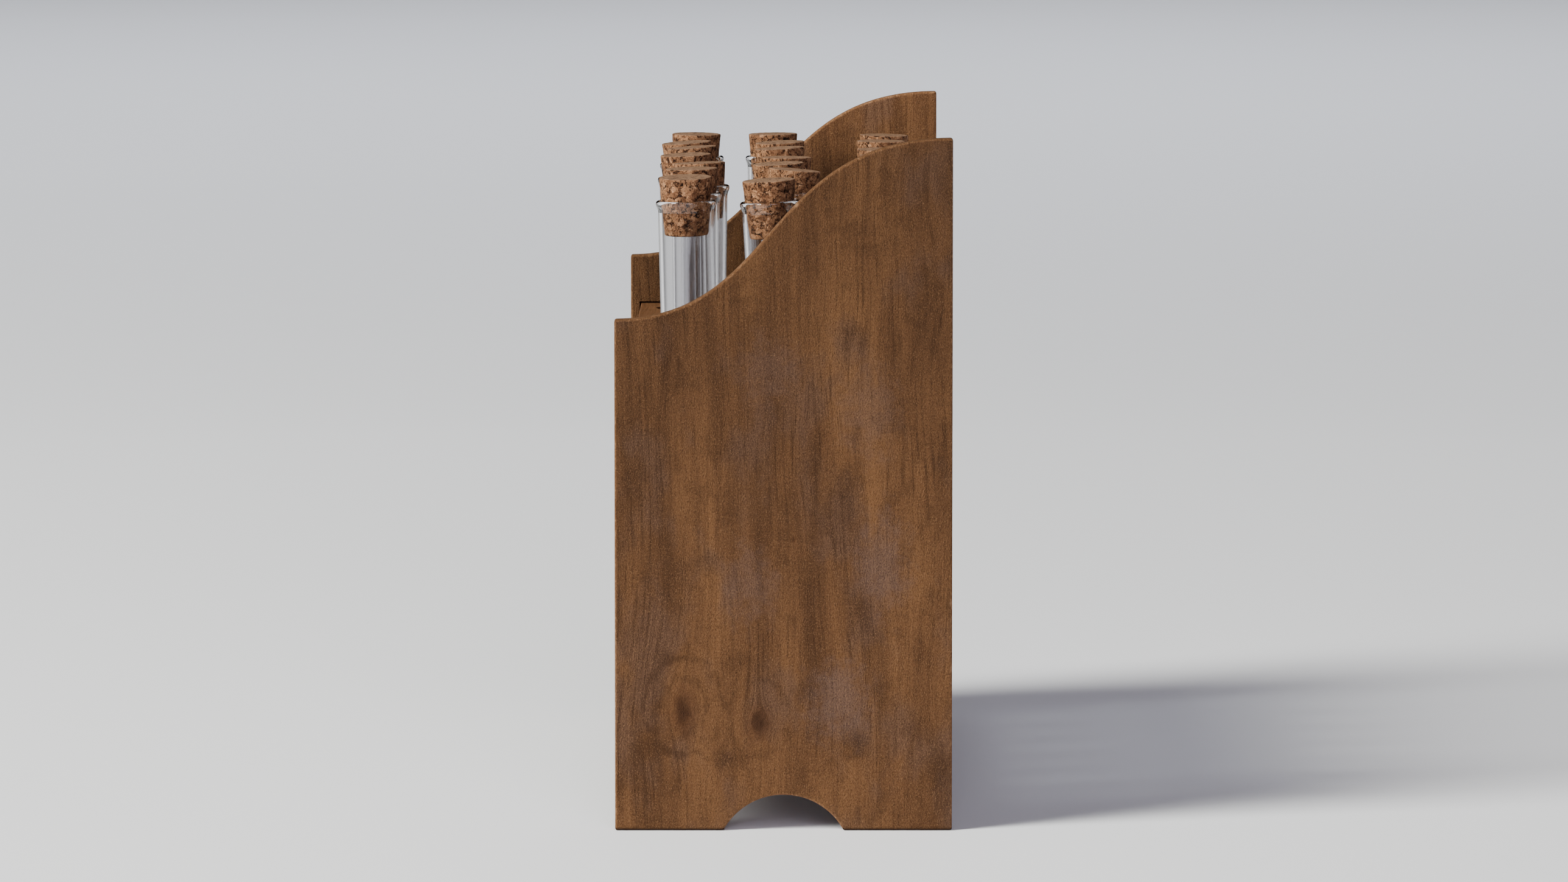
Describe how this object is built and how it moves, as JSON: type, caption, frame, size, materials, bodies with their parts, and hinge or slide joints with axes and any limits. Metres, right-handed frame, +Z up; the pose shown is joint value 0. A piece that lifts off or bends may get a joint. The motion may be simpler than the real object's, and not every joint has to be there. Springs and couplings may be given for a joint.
{
  "type": "test tube rack with corked tubes",
  "caption": "Wooden test-tube rack with curved side panels that holds rows of round-bottomed glass test tubes, each closed by a tapered cork; tubes lift out and corks pull out.",
  "frame": {"origin": "middle of the rack's footprint, on the surface that it stands on", "axes": "+Z up; +X along the rack, towards its right end; +Y from the low front to the tall back"},
  "size_m": [0.256, 0.096, 0.1975],
  "materials": {
    "panel_wood": "stained softwood with a fine sanded grain, satin",
    "board_wood": "stained softwood, planed smooth, satin",
    "tube_glass": "clear borosilicate glass, fire-polished",
    "cork": "agglomerated cork, matt, with dark pores"
  },
  "bodies": {
    "rack": {"side_panel_right": "panel_wood", "side_panel_left": "panel_wood", "tube_board": "board_wood", "base_board": "board_wood"},
    "tube_front_1": {"tube_front_1": "tube_glass"},
    "cork_front_1": {"cork_front_1": "cork"},
    "tube_front_2": {"tube_front_2": "tube_glass"},
    "cork_front_2": {"cork_front_2": "cork"},
    "tube_front_3": {"tube_front_3": "tube_glass"},
    "cork_front_3": {"cork_front_3": "cork"},
    "tube_front_4": {"tube_front_4": "tube_glass"},
    "cork_front_4": {"cork_front_4": "cork"},
    "tube_front_5": {"tube_front_5": "tube_glass"},
    "cork_front_5": {"cork_front_5": "cork"},
    "tube_front_6": {"tube_front_6": "tube_glass"},
    "cork_front_6": {"cork_front_6": "cork"},
    "tube_front_7": {"tube_front_7": "tube_glass"},
    "cork_front_7": {"cork_front_7": "cork"},
    "tube_middle_1": {"tube_middle_1": "tube_glass"},
    "cork_middle_1": {"cork_middle_1": "cork"},
    "tube_middle_2": {"tube_middle_2": "tube_glass"},
    "cork_middle_2": {"cork_middle_2": "cork"},
    "tube_middle_3": {"tube_middle_3": "tube_glass"},
    "cork_middle_3": {"cork_middle_3": "cork"},
    "tube_middle_4": {"tube_middle_4": "tube_glass"},
    "cork_middle_4": {"cork_middle_4": "cork"},
    "tube_middle_5": {"tube_middle_5": "tube_glass"},
    "cork_middle_5": {"cork_middle_5": "cork"},
    "tube_middle_6": {"tube_middle_6": "tube_glass"},
    "cork_middle_6": {"cork_middle_6": "cork"},
    "tube_middle_7": {"tube_middle_7": "tube_glass"},
    "cork_middle_7": {"cork_middle_7": "cork"},
    "tube_back_1": {"tube_back_1": "tube_glass"},
    "cork_back_1": {"cork_back_1": "cork"},
    "tube_back_2": {"tube_back_2": "tube_glass"},
    "cork_back_2": {"cork_back_2": "cork"},
    "tube_back_3": {"tube_back_3": "tube_glass"},
    "cork_back_3": {"cork_back_3": "cork"},
    "tube_back_4": {"tube_back_4": "tube_glass"},
    "cork_back_4": {"cork_back_4": "cork"},
    "tube_back_5": {"tube_back_5": "tube_glass"},
    "cork_back_5": {"cork_back_5": "cork"},
    "tube_back_6": {"tube_back_6": "tube_glass"},
    "cork_back_6": {"cork_back_6": "cork"},
    "tube_back_7": {"tube_back_7": "tube_glass"},
    "cork_back_7": {"cork_back_7": "cork"}
  },
  "joints": [
    {"name": "lift_tube_front_1", "type": "slide", "parent": "rack", "child": "tube_front_1", "axis": [0.0075, -0.024, 0.9997], "range_m": [0, 0.12]},
    {"name": "pull_cork_front_1", "type": "slide", "parent": "tube_front_1", "child": "cork_front_1", "axis": [0.0075, -0.024, 0.9997], "range_m": [0, 0.035]},
    {"name": "lift_tube_front_2", "type": "slide", "parent": "rack", "child": "tube_front_2", "axis": [0.0002, 0.0032, 1], "range_m": [0, 0.12]},
    {"name": "pull_cork_front_2", "type": "slide", "parent": "tube_front_2", "child": "cork_front_2", "axis": [0.0002, 0.0032, 1], "range_m": [0, 0.035]},
    {"name": "lift_tube_front_3", "type": "slide", "parent": "rack", "child": "tube_front_3", "axis": [-0.0078, 0.0126, 0.9999], "range_m": [0, 0.12]},
    {"name": "pull_cork_front_3", "type": "slide", "parent": "tube_front_3", "child": "cork_front_3", "axis": [-0.0078, 0.0126, 0.9999], "range_m": [0, 0.035]},
    {"name": "lift_tube_front_4", "type": "slide", "parent": "rack", "child": "tube_front_4", "axis": [0.0113, -0.0044, 0.9999], "range_m": [0, 0.12]},
    {"name": "pull_cork_front_4", "type": "slide", "parent": "tube_front_4", "child": "cork_front_4", "axis": [0.0113, -0.0044, 0.9999], "range_m": [0, 0.035]},
    {"name": "lift_tube_front_5", "type": "slide", "parent": "rack", "child": "tube_front_5", "axis": [-0.0089, 0.0025, 1], "range_m": [0, 0.12]},
    {"name": "pull_cork_front_5", "type": "slide", "parent": "tube_front_5", "child": "cork_front_5", "axis": [-0.0089, 0.0025, 1], "range_m": [0, 0.035]},
    {"name": "lift_tube_front_6", "type": "slide", "parent": "rack", "child": "tube_front_6", "axis": [0.0017, -0.005, 1], "range_m": [0, 0.12]},
    {"name": "pull_cork_front_6", "type": "slide", "parent": "tube_front_6", "child": "cork_front_6", "axis": [0.0017, -0.005, 1], "range_m": [0, 0.035]},
    {"name": "lift_tube_front_7", "type": "slide", "parent": "rack", "child": "tube_front_7", "axis": [0.0063, 0.0019, 1], "range_m": [0, 0.12]},
    {"name": "pull_cork_front_7", "type": "slide", "parent": "tube_front_7", "child": "cork_front_7", "axis": [0.0063, 0.0019, 1], "range_m": [0, 0.035]},
    {"name": "lift_tube_middle_1", "type": "slide", "parent": "rack", "child": "tube_middle_1", "axis": [0.0077, -0.0548, 0.9985], "range_m": [0, 0.12]},
    {"name": "pull_cork_middle_1", "type": "slide", "parent": "tube_middle_1", "child": "cork_middle_1", "axis": [0.0077, -0.0548, 0.9985], "range_m": [0, 0.035]},
    {"name": "lift_tube_middle_2", "type": "slide", "parent": "rack", "child": "tube_middle_2", "axis": [-0.0113, 0.0114, 0.9999], "range_m": [0, 0.12]},
    {"name": "pull_cork_middle_2", "type": "slide", "parent": "tube_middle_2", "child": "cork_middle_2", "axis": [-0.0113, 0.0114, 0.9999], "range_m": [0, 0.035]},
    {"name": "lift_tube_middle_3", "type": "slide", "parent": "rack", "child": "tube_middle_3", "axis": [0.009, -0.0044, 0.9999], "range_m": [0, 0.12]},
    {"name": "pull_cork_middle_3", "type": "slide", "parent": "tube_middle_3", "child": "cork_middle_3", "axis": [0.009, -0.0044, 0.9999], "range_m": [0, 0.035]},
    {"name": "lift_tube_middle_4", "type": "slide", "parent": "rack", "child": "tube_middle_4", "axis": [-0.002, 0.0032, 1], "range_m": [0, 0.12]},
    {"name": "pull_cork_middle_4", "type": "slide", "parent": "tube_middle_4", "child": "cork_middle_4", "axis": [-0.002, 0.0032, 1], "range_m": [0, 0.035]},
    {"name": "lift_tube_middle_5", "type": "slide", "parent": "rack", "child": "tube_middle_5", "axis": [-0.0061, -0.0032, 1], "range_m": [0, 0.12]},
    {"name": "pull_cork_middle_5", "type": "slide", "parent": "tube_middle_5", "child": "cork_middle_5", "axis": [-0.0061, -0.0032, 1], "range_m": [0, 0.035]},
    {"name": "lift_tube_middle_6", "type": "slide", "parent": "rack", "child": "tube_middle_6", "axis": [0.011, -0.0025, 0.9999], "range_m": [0, 0.12]},
    {"name": "pull_cork_middle_6", "type": "slide", "parent": "tube_middle_6", "child": "cork_middle_6", "axis": [0.011, -0.0025, 0.9999], "range_m": [0, 0.035]},
    {"name": "lift_tube_middle_7", "type": "slide", "parent": "rack", "child": "tube_middle_7", "axis": [-0.0101, -0.0114, 0.9999], "range_m": [0, 0.12]},
    {"name": "pull_cork_middle_7", "type": "slide", "parent": "tube_middle_7", "child": "cork_middle_7", "axis": [-0.0101, -0.0114, 0.9999], "range_m": [0, 0.035]},
    {"name": "lift_tube_back_1", "type": "slide", "parent": "rack", "child": "tube_back_1", "axis": [-0.0092, -0.0095, 0.9999], "range_m": [0, 0.12]},
    {"name": "pull_cork_back_1", "type": "slide", "parent": "tube_back_1", "child": "cork_back_1", "axis": [-0.0092, -0.0095, 0.9999], "range_m": [0, 0.035]},
    {"name": "lift_tube_back_2", "type": "slide", "parent": "rack", "child": "tube_back_2", "axis": [0.0022, 0.0038, 1], "range_m": [0, 0.12]},
    {"name": "pull_cork_back_2", "type": "slide", "parent": "tube_back_2", "child": "cork_back_2", "axis": [0.0022, 0.0038, 1], "range_m": [0, 0.035]},
    {"name": "lift_tube_back_3", "type": "slide", "parent": "rack", "child": "tube_back_3", "axis": [0.0059, 0.0044, 1], "range_m": [0, 0.12]},
    {"name": "pull_cork_back_3", "type": "slide", "parent": "tube_back_3", "child": "cork_back_3", "axis": [0.0059, 0.0044, 1], "range_m": [0, 0.035]},
    {"name": "lift_tube_back_4", "type": "slide", "parent": "rack", "child": "tube_back_4", "axis": [-0.0109, 0.0088, 0.9999], "range_m": [0, 0.12]},
    {"name": "pull_cork_back_4", "type": "slide", "parent": "tube_back_4", "child": "cork_back_4", "axis": [-0.0109, 0.0088, 0.9999], "range_m": [0, 0.035]},
    {"name": "lift_tube_back_5", "type": "slide", "parent": "rack", "child": "tube_back_5", "axis": [0.0102, 0.0076, 0.9999], "range_m": [0, 0.12]},
    {"name": "pull_cork_back_5", "type": "slide", "parent": "tube_back_5", "child": "cork_back_5", "axis": [0.0102, 0.0076, 0.9999], "range_m": [0, 0.035]},
    {"name": "lift_tube_back_6", "type": "slide", "parent": "rack", "child": "tube_back_6", "axis": [-0.0041, 0.0057, 1], "range_m": [0, 0.12]},
    {"name": "pull_cork_back_6", "type": "slide", "parent": "tube_back_6", "child": "cork_back_6", "axis": [-0.0041, 0.0057, 1], "range_m": [0, 0.035]},
    {"name": "lift_tube_back_7", "type": "slide", "parent": "rack", "child": "tube_back_7", "axis": [-0.0041, 0.012, 0.9999], "range_m": [0, 0.12]},
    {"name": "pull_cork_back_7", "type": "slide", "parent": "tube_back_7", "child": "cork_back_7", "axis": [-0.0041, 0.012, 0.9999], "range_m": [0, 0.035]}
  ]
}
